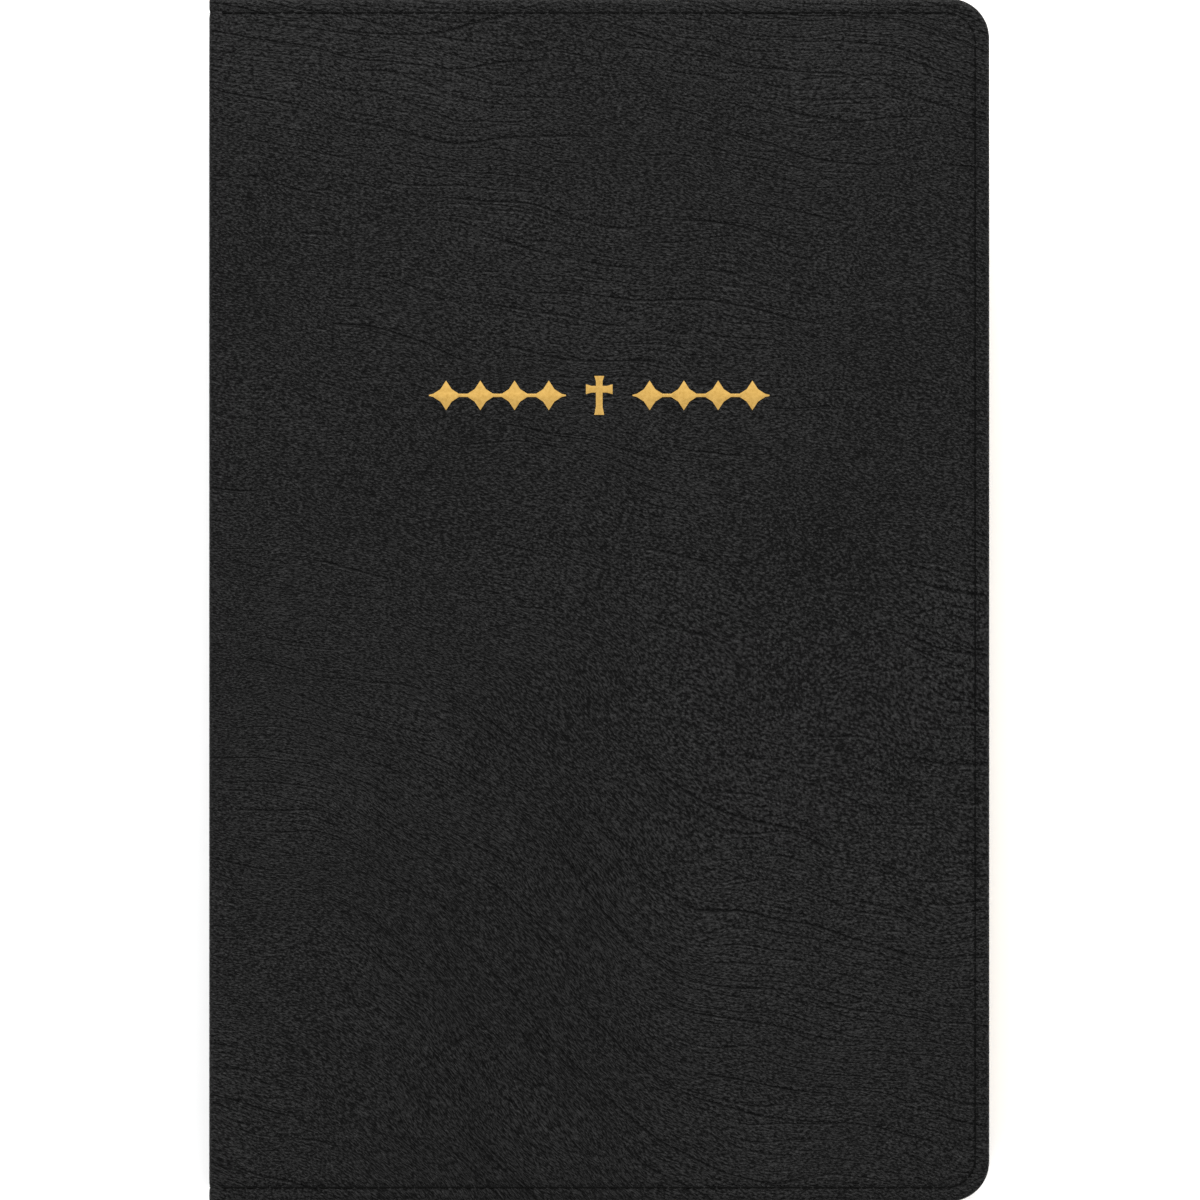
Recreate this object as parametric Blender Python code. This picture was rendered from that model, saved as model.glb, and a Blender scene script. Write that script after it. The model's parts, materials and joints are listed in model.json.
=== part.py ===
"""A Bible in a limp leather binding, lying closed on its back cover.

Metres, +Z up. The origin is the centre of the footprint at table height.
+X runs from the spine to the fore-edge, +Y from the tail to the head, and
+Z from the back cover to the front cover.

The book is sewn in sections. Its leather case is cut into flat panels at the
four lines where the real sheet bends: the two joints beside the spine, and
one flex line down each cover.
"""
import math

import bmesh
import bpy
from mathutils import Vector

MM = 0.001

# Driving dimensions
COVER_WIDTH = 152.4 * MM
COVER_HEIGHT = 235.0 * MM
BOOK_THICKNESS = 28.0 * MM
COVER_THICKNESS = 2.3 * MM
PAGE_WIDTH = 145.3 * MM
PAGE_HEIGHT = 228.6 * MM
GAP = 0.3 * MM
FINE_GAP = 0.2 * MM

# Leather case
LEATHER = 0.8 * MM
TURN_IN = 0.5 * MM
TURN_IN_WIDTH = 12.5 * MM
EDGE_WALL = 0.9 * MM
CORNER_RADIUS = 7.8 * MM
JOINT_WIDTH = 4.0 * MM
FLEX_LINE_X = 38.0 * MM
BOARD = 0.4 * MM
PASTEDOWN = 0.3 * MM

# Stitching sunk in a groove along the edges
STITCH_INSET = 2.8 * MM
STITCH_CORNER = 5.9 * MM
THREAD_WIDTH = 0.4 * MM
THREAD_DEPTH = 0.25 * MM
THREAD_SINK = 0.05 * MM
GROOVE_DEPTH = 0.5 * MM

# Gilt ornament sunk in the front leather
ORNAMENT_Y = 39.95 * MM
ORNAMENT_WIDTH = 66.5 * MM
ORNAMENT_HEIGHT = 7.6 * MM
FOIL = 0.15 * MM
FOIL_SINK = 0.05 * MM
FOIL_POCKET = 0.4 * MM
CROSS_BAR = 1.3 * MM
CROSS_SPAN = 5.2 * MM
CROSS_BAR_RISE = 1.2 * MM
WING_START = 6.5 * MM
WING_RULE = 0.7 * MM
WING_LOZENGES = 4
LOZENGE_HALF = 2.9 * MM

# Text block
SECTION_COUNT = 18
FRONT_SECTIONS = 9
PAGE_CORNER = 6.0 * MM
FLYLEAF = 0.2 * MM

# Layers on the back of the sections, from the folds outwards
SEWING = 0.5 * MM
MULL = 0.3 * MM
LINING = 0.2 * MM
INLAY = 0.4 * MM
SEWING_ROWS = 5
SEWING_SPREAD = 180.0 * MM
SEWING_WIDTH = 0.8 * MM
MULL_LENGTH = 210.0 * MM
LINING_LENGTH = 224.0 * MM
HEADBAND_WIDTH = 2.6 * MM
HEADBAND_HEIGHT = 2.0 * MM

# Worked out from the dimensions above
SPINE_X = -COVER_WIDTH / 2
FORE_X = COVER_WIDTH / 2
HALF_HEIGHT = COVER_HEIGHT / 2
HINGE_RADIUS = COVER_THICKNESS / 2
HINGE_X = SPINE_X + HINGE_RADIUS
BLOCK_LOW = COVER_THICKNESS + GAP + FLYLEAF + GAP
BLOCK_HIGH = BOOK_THICKNESS - BLOCK_LOW
SECTION_PITCH = (BLOCK_HIGH - BLOCK_LOW + GAP) / SECTION_COUNT
SECTION = SECTION_PITCH - GAP
LEATHER_SPINE = EDGE_WALL
INLAY_X = SPINE_X + LEATHER_SPINE + GAP
LINING_X = INLAY_X + INLAY + GAP
MULL_X = LINING_X + LINING + GAP
SEWING_X = MULL_X + MULL + GAP
FOLD_X = SEWING_X + SEWING + GAP
PAGE_X = FOLD_X + PAGE_WIDTH
PAGE_HALF = PAGE_HEIGHT / 2
SPINE_LOW = COVER_THICKNESS + GAP
SPINE_HIGH = BOOK_THICKNESS - SPINE_LOW
ARC_STEPS = 7


def clear_scene():
    for item in list(bpy.data.objects):
        bpy.data.objects.remove(item, do_unlink=True)


def make_material(name, colour, roughness, metallic=0.0):
    made = bpy.data.materials.new(name)
    made.use_nodes = True
    shader = made.node_tree.nodes["Principled BSDF"]
    shader.inputs["Base Color"].default_value = (*colour, 1.0)
    shader.inputs["Roughness"].default_value = roughness
    shader.inputs["Metallic"].default_value = metallic
    return made


def arc(centre, radius, start, end, steps=ARC_STEPS):
    """Points along an arc, from the start angle to the end angle in degrees."""
    points = []
    for step in range(steps + 1):
        angle = math.radians(start + (end - start) * step / steps)
        points.append((centre[0] + radius * math.cos(angle), centre[1] + radius * math.sin(angle)))
    return points


def box_outline(low_x, high_x, low_y, high_y):
    return [(low_x, low_y), (high_x, low_y), (high_x, high_y), (low_x, high_y)]


def leaf_outline(low_x, high_x, half_y, corner):
    """A sheet with square corners at the spine and round ones at the fore-edge."""
    tail = arc((high_x - corner, corner - half_y), corner, -90, 0)
    head = arc((high_x - corner, half_y - corner), corner, 0, 90)
    return [(low_x, -half_y), *tail, *head, (low_x, half_y)]


def prism(outline, low, high, along="Z"):
    """A closed solid: an outline in XY swept along Z, or one in XZ swept along Y."""
    solid = bmesh.new()
    ends = []
    for height in (low, high):
        if along == "Z":
            ends.append([solid.verts.new((u, v, height)) for u, v in outline])
        else:
            ends.append([solid.verts.new((u, height, v)) for u, v in outline])
    solid.faces.new(ends[0])
    solid.faces.new(ends[1])
    count = len(outline)
    for index in range(count):
        after = (index + 1) % count
        solid.faces.new((ends[0][index], ends[0][after], ends[1][after], ends[1][index]))
    bmesh.ops.recalc_face_normals(solid, faces=solid.faces)
    return solid


class Body:
    """An empty on a joint's axis, with the pieces that turn about it."""

    def __init__(self, name, place, parent=None):
        self.place = Vector(place)
        self.empty = bpy.data.objects.new(name, None)
        self.empty.empty_display_size = 10 * MM
        bpy.context.scene.collection.objects.link(self.empty)
        self.empty.location = self.place
        if parent:
            self.empty.parent = parent.empty
            self.empty.location = self.place - parent.place

    def add(self, name, mesh, material, place=(0, 0, 0)):
        made = bpy.data.objects.new(name, mesh)
        bpy.context.scene.collection.objects.link(made)
        made.parent = self.empty
        made.location = Vector(place) - self.place
        if material and not mesh.materials:
            mesh.materials.append(material)
        return made

    def solid(self, name, shape, material):
        """A piece whose shape is already where it belongs in the book."""
        mesh = bpy.data.meshes.new(name)
        shape.to_mesh(mesh)
        shape.free()
        mesh.shade_smooth()
        mesh.set_sharp_from_angle(angle=math.radians(35))
        return self.add(name, mesh, material)

    def cut(self, piece, name, shape):
        """Cut a shape out of a piece."""
        cutter = self.solid(name, shape, None)
        cutter.hide_render = True
        cutter.display_type = "WIRE"
        modifier = piece.modifiers.new(name, "BOOLEAN")
        modifier.operation = "DIFFERENCE"
        modifier.solver = "EXACT"
        modifier.object = cutter


class Side:
    """Heights for one cover: as given for the front, and mirrored for the back."""

    def __init__(self, name, front):
        self.name = name
        self.front = front

    def height(self, z):
        return z if self.front else BOOK_THICKNESS - z

    def slab(self, outline, low, high):
        return prism(outline, *sorted((self.height(low), self.height(high))))


# Heights through the front cover, outer face first
OUTER = BOOK_THICKNESS
POCKET_HIGH = OUTER - LEATHER
INNER = BOOK_THICKNESS - COVER_THICKNESS
POCKET_LOW = INNER + TURN_IN
BOARD_LOW = POCKET_LOW + GAP
PASTEDOWN_HIGH = INNER + PASTEDOWN
THREAD_HIGH = OUTER - THREAD_SINK
BEYOND = 1.0 * MM


def cover_strip(side, low_x, high_x):
    """The joint edge of a cover: a flat strip whose spine edge is half round."""
    centre = (HINGE_X, side.height(OUTER - HINGE_RADIUS))
    start = 90 if side.front else -90
    turn = 180 if side.front else -180
    edge = arc(centre, HINGE_RADIUS, start, start + turn, 2 * ARC_STEPS)
    outer, inner = side.height(OUTER), side.height(INNER)
    profile = [(high_x, outer), *edge, (high_x, inner)]
    return prism(profile, -HALF_HEIGHT, HALF_HEIGHT, along="Y")


def hinge_panel(side, body, leather):
    """The cover from the joint to the flex line, turned in at head and tail."""
    high_x = FLEX_LINE_X - GAP / 2
    panel = body.solid(side.name + "_cover_leather", cover_strip(side, HINGE_X, high_x), leather)
    pocket_half = HALF_HEIGHT - EDGE_WALL
    window_half = HALF_HEIGHT - TURN_IN_WIDTH
    board_x = HINGE_X + JOINT_WIDTH
    past_x = high_x + BEYOND
    pocket = box_outline(board_x, past_x, -pocket_half, pocket_half)
    window = box_outline(board_x, past_x, -window_half, window_half)
    body.cut(panel, side.name + "_hinge_pocket", side.slab(pocket, POCKET_LOW, POCKET_HIGH))
    body.cut(panel, side.name + "_hinge_window", side.slab(window, INNER - BEYOND, POCKET_LOW + GAP))
    groove_half = THREAD_WIDTH / 2 + FINE_GAP
    for sign, end in ((1, "head"), (-1, "tail")):
        middle = sign * (HALF_HEIGHT - STITCH_INSET)
        groove = box_outline(SPINE_X - BEYOND, past_x, middle - groove_half, middle + groove_half)
        body.cut(panel, side.name + "_groove_" + end, side.slab(groove, OUTER - GROOVE_DEPTH, OUTER + BEYOND))
    return panel


def fore_edge_panel(side, body, leather):
    """The cover beyond the flex line, turned in on three sides."""
    low_x = FLEX_LINE_X + GAP / 2
    past_x = low_x - BEYOND
    outline = leaf_outline(low_x, FORE_X, HALF_HEIGHT, CORNER_RADIUS)
    panel = body.solid(side.name + "_cover_leather_fore_edge", side.slab(outline, INNER, OUTER), leather)
    pocket = leaf_outline(past_x, FORE_X - EDGE_WALL, HALF_HEIGHT - EDGE_WALL, CORNER_RADIUS - EDGE_WALL)
    window = box_outline(
        past_x, FORE_X - TURN_IN_WIDTH, TURN_IN_WIDTH - HALF_HEIGHT, HALF_HEIGHT - TURN_IN_WIDTH
    )
    body.cut(panel, side.name + "_fore_pocket", side.slab(pocket, POCKET_LOW, POCKET_HIGH))
    body.cut(panel, side.name + "_fore_window", side.slab(window, INNER - BEYOND, POCKET_LOW + GAP))
    groove = stitch_outline(past_x, THREAD_WIDTH / 2 + FINE_GAP)
    body.cut(panel, side.name + "_fore_groove", side.slab(groove, OUTER - GROOVE_DEPTH, OUTER + BEYOND))
    return panel


def stitch_outline(low_x, half_width):
    """The U-shaped stitch line round the fore-edge, as a strip of one width."""
    loops = []
    for shift in (half_width, -half_width):
        inset = STITCH_INSET - shift
        loops.append(leaf_outline(low_x, FORE_X - inset, HALF_HEIGHT - inset, STITCH_CORNER + shift))
    return [*loops[0], *reversed(loops[1])]


def cover_stitches(side, hinge_body, fore_body, thread):
    """The edge stitching: two straight runs and one round the fore-edge."""
    half = THREAD_WIDTH / 2
    for sign, end in ((1, "head"), (-1, "tail")):
        middle = sign * (HALF_HEIGHT - STITCH_INSET)
        run = box_outline(HINGE_X, FLEX_LINE_X - GAP / 2, middle - half, middle + half)
        shape = side.slab(run, THREAD_HIGH - THREAD_DEPTH, THREAD_HIGH)
        hinge_body.solid(side.name + "_stitching_" + end, shape, thread)
    loop = stitch_outline(FLEX_LINE_X + GAP / 2, half)
    shape = side.slab(loop, THREAD_HIGH - THREAD_DEPTH, THREAD_HIGH)
    fore_body.solid(side.name + "_stitching_fore_edge", shape, thread)


def cover_boards(side, hinge_body, fore_body, board, paper):
    """The stiffener inside each cover and the paper pasted over it."""
    low_x = HINGE_X + JOINT_WIDTH + GAP
    split = (FLEX_LINE_X - GAP / 2, FLEX_LINE_X + GAP / 2)
    half = HALF_HEIGHT - EDGE_WALL - GAP
    high_x = FORE_X - EDGE_WALL - GAP
    corner = CORNER_RADIUS - EDGE_WALL - GAP
    inner_board = box_outline(low_x, split[0], -half, half)
    outer_board = leaf_outline(split[1], high_x, half, corner)
    board_high = BOARD_LOW + BOARD
    shape = side.slab(inner_board, BOARD_LOW, board_high)
    hinge_body.solid(side.name + "_board", shape, board)
    shape = side.slab(outer_board, BOARD_LOW, board_high)
    fore_body.solid(side.name + "_board_fore_edge", shape, board)
    paper_half = HALF_HEIGHT - TURN_IN_WIDTH - GAP
    paper_x = FORE_X - TURN_IN_WIDTH - GAP
    inner_paper = box_outline(low_x, split[0], -paper_half, paper_half)
    outer_paper = box_outline(split[1], paper_x, -paper_half, paper_half)
    shape = side.slab(inner_paper, INNER, PASTEDOWN_HIGH)
    hinge_body.solid(side.name + "_pastedown", shape, paper)
    shape = side.slab(outer_paper, INNER, PASTEDOWN_HIGH)
    fore_body.solid(side.name + "_pastedown_fore_edge", shape, paper)


def cross_outline(grow):
    """A Latin cross about the ornament's centre."""
    half_bar = CROSS_BAR / 2 + grow
    half_high = ORNAMENT_HEIGHT / 2 + grow
    half_wide = CROSS_SPAN / 2 + grow
    low = CROSS_BAR_RISE - half_bar
    high = CROSS_BAR_RISE + half_bar
    right = [(half_bar, -half_high), (half_bar, low), (half_wide, low)]
    right += [(half_wide, high), (half_bar, high), (half_bar, half_high)]
    left = [(-x, y) for x, y in reversed(right)]
    return [(x, y + ORNAMENT_Y) for x, y in [*right, *left]]


def wing_outline(sign, grow):
    """A rule threaded through a row of lozenges, on one side of the cross."""
    span = ORNAMENT_WIDTH / 2 - WING_START
    pitch = span / WING_LOZENGES
    rule = WING_RULE / 2 + grow
    reach = LOZENGE_HALF + grow * math.sqrt(2)
    upper = [(WING_START - grow, rule)]
    for index in range(WING_LOZENGES):
        middle = WING_START + pitch * (index + 0.5)
        upper += [(middle - reach + rule, rule), (middle, reach), (middle + reach - rule, rule)]
    upper.append((ORNAMENT_WIDTH / 2 + grow, rule))
    lower = [(x, -y) for x, y in reversed(upper)]
    return [(sign * x, y + ORNAMENT_Y) for x, y in [*upper, *lower]]


def ornament(side, body, panel, foil):
    """The gilt cross and its two wings, each in a pocket of its own shape."""
    outlines = {
        "ornament_cross": cross_outline,
        "ornament_wing_spine_side": lambda grow: wing_outline(-1, grow),
        "ornament_wing_fore_side": lambda grow: wing_outline(1, grow),
    }
    high = OUTER - FOIL_SINK
    for name, outline in outlines.items():
        body.cut(panel, name + "_pocket", side.slab(outline(FINE_GAP), OUTER - FOIL_POCKET, OUTER + BEYOND))
        body.solid(name, side.slab(outline(0.0), high - FOIL, high), foil)


def spine_case(body, leather, board, thread):
    """The leather over the back of the book, its stiffener and its stitches."""
    inner_x = SPINE_X + LEATHER_SPINE
    lip_y = HALF_HEIGHT - EDGE_WALL
    lip_x = INLAY_X + INLAY
    profile = [(SPINE_X, -HALF_HEIGHT), (lip_x, -HALF_HEIGHT), (lip_x, -lip_y), (inner_x, -lip_y)]
    profile += [(x, -y) for x, y in reversed(profile)]
    case = body.solid("spine_leather", prism(profile, SPINE_LOW, SPINE_HIGH), leather)
    half = THREAD_WIDTH / 2
    for sign, end in ((1, "head"), (-1, "tail")):
        middle = sign * (HALF_HEIGHT - STITCH_INSET)
        groove_half = half + FINE_GAP
        groove = box_outline(
            SPINE_X - BEYOND, SPINE_X + GROOVE_DEPTH, middle - groove_half, middle + groove_half
        )
        body.cut(case, "spine_groove_" + end, prism(groove, SPINE_LOW - BEYOND, SPINE_HIGH + BEYOND))
        outer_x = SPINE_X + THREAD_SINK
        run = box_outline(outer_x, outer_x + THREAD_DEPTH, middle - half, middle + half)
        body.solid("spine_stitching_" + end, prism(run, SPINE_LOW, SPINE_HIGH), thread)
    inlay = box_outline(INLAY_X, INLAY_X + INLAY, GAP - lip_y, lip_y - GAP)
    body.solid("spine_inlay", prism(inlay, SPINE_LOW + GAP, SPINE_HIGH - GAP), board)


def spine_linings(body, paper, cloth):
    """The paper and the open cloth glued over the folds of the sections."""
    low, high = BLOCK_LOW + GAP, BLOCK_HIGH - GAP
    lining = box_outline(LINING_X, LINING_X + LINING, -LINING_LENGTH / 2, LINING_LENGTH / 2)
    body.solid("spine_lining", prism(lining, low, high), paper)
    mull = box_outline(MULL_X, MULL_X + MULL, -MULL_LENGTH / 2, MULL_LENGTH / 2)
    body.solid("spine_mull", prism(mull, low, high), cloth)


def sewing_threads(body, thread):
    """Rows of linen thread that hold the sections to each other."""
    for row in range(SEWING_ROWS):
        middle = SEWING_SPREAD * (row / (SEWING_ROWS - 1) - 0.5)
        half = SEWING_WIDTH / 2
        strip = box_outline(SEWING_X, SEWING_X + SEWING, middle - half, middle + half)
        shape = prism(strip, BLOCK_LOW + GAP, BLOCK_HIGH - GAP)
        body.solid("sewing_thread_%d" % (row + 1), shape, thread)


def headbands(body, cloth):
    """A rolled cloth band across the head and the tail of the folds."""
    for sign, end in ((1, "head"), (-1, "tail")):
        low_y = PAGE_HALF + GAP
        bead = arc(
            (SEWING_X + HEADBAND_WIDTH / 2, low_y + HEADBAND_HEIGHT - HEADBAND_WIDTH / 2),
            HEADBAND_WIDTH / 2, 0, 180,
        )
        outline = [(SEWING_X + HEADBAND_WIDTH, low_y), *bead, (SEWING_X, low_y)]
        outline = [(x, sign * y) for x, y in outline]
        body.solid("headband_" + end, prism(outline, BLOCK_LOW + GAP, BLOCK_HIGH - GAP), cloth)


def section_mesh():
    """One folded section of pages, its fold round and its origin in the fold."""
    outline = leaf_outline(0.0, PAGE_WIDTH, PAGE_HALF, PAGE_CORNER)
    shape = prism(outline, -SECTION / 2, SECTION / 2)
    fold = [edge for edge in shape.edges if all(vert.co.x == 0.0 for vert in edge.verts)]
    fold = [edge for edge in fold if edge.verts[0].co.z == edge.verts[1].co.z]
    bmesh.ops.bevel(shape, geom=fold, offset=SECTION * 0.45, segments=3, profile=0.5, affect="EDGES")
    mesh = bpy.data.meshes.new("section")
    shape.to_mesh(mesh)
    shape.free()
    mesh.shade_smooth()
    mesh.set_sharp_from_angle(angle=math.radians(35))
    return mesh


def text_block(front_body, rear_body, paper):
    """The sections, numbered from the front cover to the back one."""
    mesh = section_mesh()
    for index in range(SECTION_COUNT):
        body = front_body if index < FRONT_SECTIONS else rear_body
        z = BLOCK_HIGH - SECTION / 2 - SECTION_PITCH * index
        body.add("section_%02d" % (index + 1), mesh, paper, (FOLD_X, 0, z))


def flyleaf(name, body, low, paper):
    outline = leaf_outline(FOLD_X, PAGE_X, PAGE_HALF, PAGE_CORNER)
    body.solid(name, prism(outline, low, low + FLYLEAF), paper)


clear_scene()

black_leather = make_material("black_leather", (0.021, 0.021, 0.020), 0.5)
black_thread = make_material("black_thread", (0.016, 0.016, 0.016), 0.7)
gilt_foil = make_material("gilt_foil", (0.68, 0.42, 0.11), 0.3, 1.0)
grey_board = make_material("grey_board", (0.35, 0.33, 0.30), 0.9)
bible_paper = make_material("bible_paper", (0.80, 0.76, 0.66), 0.85)
endpaper = make_material("endpaper", (0.72, 0.68, 0.60), 0.8)
lining_paper = make_material("lining_paper", (0.45, 0.36, 0.25), 0.9)
mull_cloth = make_material("mull_cloth", (0.78, 0.76, 0.70), 0.95)
linen_thread = make_material("linen_thread", (0.80, 0.75, 0.64), 0.85)
headband_cloth = make_material("headband_cloth", (0.62, 0.47, 0.22), 0.8)

back_joint = (HINGE_X, 0, HINGE_RADIUS)
front_joint = (HINGE_X, 0, BOOK_THICKNESS - HINGE_RADIUS)
flyleaf_low = INNER - GAP - FLYLEAF

text_rear = Body("text_rear", back_joint)
spine = Body("spine", back_joint, text_rear)
text_front = Body("text_front", front_joint, spine)
front_flyleaf = Body("front_flyleaf_turn", (FOLD_X, 0, flyleaf_low + FLYLEAF / 2), text_front)
front_cover = Body("front_cover", front_joint, text_front)
front_fore = Body("front_cover_fore_edge", (FLEX_LINE_X, 0, BOOK_THICKNESS), front_cover)
back_cover = Body("back_cover", back_joint, text_rear)
back_fore = Body("back_cover_fore_edge", (FLEX_LINE_X, 0, 0), back_cover)

front = Side("front", True)
back = Side("back", False)
front_panel = hinge_panel(front, front_cover, black_leather)
fore_edge_panel(front, front_fore, black_leather)
hinge_panel(back, back_cover, black_leather)
fore_edge_panel(back, back_fore, black_leather)
for side, hinge_body, fore_body in (
    (front, front_cover, front_fore), (back, back_cover, back_fore)
):
    cover_boards(side, hinge_body, fore_body, grey_board, endpaper)
    cover_stitches(side, hinge_body, fore_body, black_thread)
ornament(front, front_cover, front_panel, gilt_foil)

spine_case(spine, black_leather, grey_board, black_thread)
spine_linings(spine, lining_paper, mull_cloth)
sewing_threads(spine, linen_thread)
headbands(spine, headband_cloth)

text_block(text_front, text_rear, bible_paper)
flyleaf("front_flyleaf", front_flyleaf, flyleaf_low, endpaper)
flyleaf("back_flyleaf", text_rear, SPINE_LOW, endpaper)
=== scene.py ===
"""The looks of a Bible in a limp leather binding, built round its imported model."""
import json
import math

import bmesh
import bpy
import numpy as np
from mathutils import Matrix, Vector


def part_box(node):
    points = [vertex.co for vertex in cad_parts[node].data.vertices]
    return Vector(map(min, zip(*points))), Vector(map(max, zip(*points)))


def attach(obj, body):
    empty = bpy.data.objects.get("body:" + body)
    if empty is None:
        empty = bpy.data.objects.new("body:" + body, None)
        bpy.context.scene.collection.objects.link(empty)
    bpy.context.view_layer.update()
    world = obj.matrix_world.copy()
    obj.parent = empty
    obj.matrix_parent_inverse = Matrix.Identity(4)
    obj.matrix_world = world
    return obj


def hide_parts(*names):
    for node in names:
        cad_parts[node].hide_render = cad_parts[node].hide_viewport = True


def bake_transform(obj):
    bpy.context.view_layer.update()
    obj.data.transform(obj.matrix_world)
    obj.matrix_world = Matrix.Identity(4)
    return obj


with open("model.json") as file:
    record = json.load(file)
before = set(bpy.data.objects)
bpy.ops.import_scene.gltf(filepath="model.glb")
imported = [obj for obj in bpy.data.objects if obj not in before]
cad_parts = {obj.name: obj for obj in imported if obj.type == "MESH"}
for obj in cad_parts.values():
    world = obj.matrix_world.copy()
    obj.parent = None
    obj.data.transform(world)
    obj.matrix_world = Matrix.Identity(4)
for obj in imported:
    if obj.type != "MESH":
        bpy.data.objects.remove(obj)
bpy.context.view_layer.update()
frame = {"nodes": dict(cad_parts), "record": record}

# ---------------------------------------------------------------- Bonded leather
# Split hide ground up and bonded to a cloth back, then embossed between rollers with
# a goat grain. It gives fine wrinkles that run mostly across the cover, pebbles
# between them, runs of soft creases, and a low sheen on near black.

MM = 0.001
PER_MM = 1000.0
LEATHER_BLACK = "#141414"
# Painted shade for the grain's valleys and painted highlight for its ridges.
LEATHER_PAINTED_SHADE = "#010101"
LEATHER_PAINTED_HIGHLIGHT = "#282828"
LEATHER_SHEEN = 0.08

# Sizes, depths and slopes of the grain are in millimetres.
WRINKLE_SIZE = 0.34
WRINKLE_STRETCH = 0.55
WRINKLE_RISE = 0.44
PEBBLE_SIZE = 0.38
PEBBLE_SINK = 0.22
SWIRL_SIZE = 24.0
SWIRL_REACH = 3.0
FLOW_SLOPE = 0.15
FLOW_DROP = 52.0
FLOW_FALLS = (-62.0, 24.0)
TAIL_PART = (25.0, -70.0)
HEAD_PART = (62.0, 112.0)
HEAD_PULL = 0.2
TAIL_PULL = 0.1
PULL_PATCH = 38.0
PULL_MIDDLE = 0.58
CREASE_SINK = 0.38
CREASE_WANDER = 3.6
# Each run of creases: spacing, length, half width, and how deep it is beside the deepest.
CREASE_RUNS = ((6.3, 34.0, 0.42, 1.0), (3.4, 17.0, 0.34, 0.7), (1.7, 7.0, 0.28, 0.45))
SMOOTH = {"interpolation_type": "SMOOTHSTEP"}
ADD, SUBTRACT, MULTIPLY, MULTIPLY_ADD = (
    {"operation": name} for name in ("ADD", "SUBTRACT", "MULTIPLY", "MULTIPLY_ADD")
)


def srgb(code):
    """A hex colour as linear red, green, blue and alpha."""
    values = [int(code[start:start + 2], 16) / 255 for start in (1, 3, 5)]
    linear = [v / 12.92 if v <= 0.04045 else ((v + 0.055) / 1.055) ** 2.4 for v in values]
    return (*linear, 1.0)


def add_node(tree, kind, settings=None, given=None):
    """A node with its properties; each input gets a plain value or another node's output."""
    made = tree.nodes.new(kind)
    for name, value in (settings or {}).items():
        setattr(made, name, value)
    for socket, value in (given or {}).items():
        if isinstance(value, bpy.types.NodeSocket):
            tree.links.new(value, made.inputs[socket])
        else:
            made.inputs[socket].default_value = value
    return made


def new_material(name, colour, roughness, metallic=0.0, specular=None):
    """A material, its node tree and its shader, with plain values on the sockets."""
    made = bpy.data.materials.new(name)
    made.use_nodes = True
    shader = made.node_tree.nodes["Principled BSDF"]
    shader.inputs["Base Color"].default_value = srgb(colour)
    shader.inputs["Roughness"].default_value = roughness
    shader.inputs["Metallic"].default_value = metallic
    if specular is not None:
        shader.inputs["Specular IOR Level"].default_value = specular
    return made, made.node_tree, shader


def rest_millimetres(tree):
    """The surface's place in the closed book, in millimetres, kept as an attribute."""
    place = add_node(tree, "ShaderNodeAttribute", {"attribute_name": "rest_place"})
    scaled = add_node(
        tree, "ShaderNodeVectorMath", {"operation": "SCALE"}, {0: place.outputs["Vector"], "Scale": PER_MM}
    )
    return scaled.outputs["Vector"]


bonded_leather, tree, shader = new_material(
    "bonded leather, goat grain", LEATHER_BLACK, 0.58, specular=LEATHER_SHEEN
)
place = rest_millimetres(tree)

# The swirl bends the grain's direction from one patch to the next.
swirl = add_node(
    tree, "ShaderNodeTexNoise", None,
    {"Vector": place, "Scale": 1 / SWIRL_SIZE, "Detail": 1.0, "Roughness": 0.4},
)
swirl_centred = add_node(
    tree, "ShaderNodeVectorMath", MULTIPLY_ADD,
    {0: swirl.outputs["Color"], 1: (2 * SWIRL_REACH,) * 3, 2: (-SWIRL_REACH,) * 3},
)
bent = add_node(tree, "ShaderNodeVectorMath", ADD, {0: place, 1: swirl_centred.outputs[0]})
bent_x, bent_y, bent_z = add_node(tree, "ShaderNodeSeparateXYZ", None, {"Vector": bent.outputs[0]}).outputs

# The hide's flow runs nearly level at the head and falls steeply low on the left.
fall = add_node(
    tree, "ShaderNodeMapRange", SMOOTH,
    {"Value": bent_x, "From Min": FLOW_FALLS[0], "From Max": FLOW_FALLS[1],
     "To Min": -FLOW_DROP / 2, "To Max": FLOW_DROP / 2},
).outputs[0]
tail_part = add_node(
    tree, "ShaderNodeMapRange", SMOOTH,
    {"Value": bent_y, "From Min": TAIL_PART[1], "From Max": TAIL_PART[0], "To Min": 1.0, "To Max": 0.0},
).outputs[0]
across = add_node(tree, "ShaderNodeMath", MULTIPLY_ADD, {0: bent_x, 1: FLOW_SLOPE, 2: bent_y}).outputs[0]
across = add_node(tree, "ShaderNodeMath", MULTIPLY_ADD, {0: fall, 1: tail_part, 2: across}).outputs[0]
flow = add_node(tree, "ShaderNodeCombineXYZ", None, {"X": bent_x, "Y": across, "Z": bent_z}).outputs[0]


def flow_place(tree, length, width):
    """A place along and across the flow, in steps of the given length and width."""
    steps = (1 / length, 1 / width, 1 / width)
    return add_node(tree, "ShaderNodeVectorMath", MULTIPLY, {0: flow, 1: steps}).outputs[0]


wrinkles = add_node(
    tree, "ShaderNodeTexNoise", None,
    {"Vector": flow_place(tree, WRINKLE_SIZE / WRINKLE_STRETCH, WRINKLE_SIZE),
     "Scale": 1.0, "Detail": 2.5, "Roughness": 0.62, "Distortion": 0.3},
).outputs[0]
pebbles = add_node(
    tree, "ShaderNodeTexVoronoi", {"feature": "SMOOTH_F1"},
    {"Vector": flow_place(tree, PEBBLE_SIZE / WRINKLE_STRETCH, PEBBLE_SIZE), "Scale": 1.0, "Smoothness": 0.35},
).outputs["Distance"]

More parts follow.
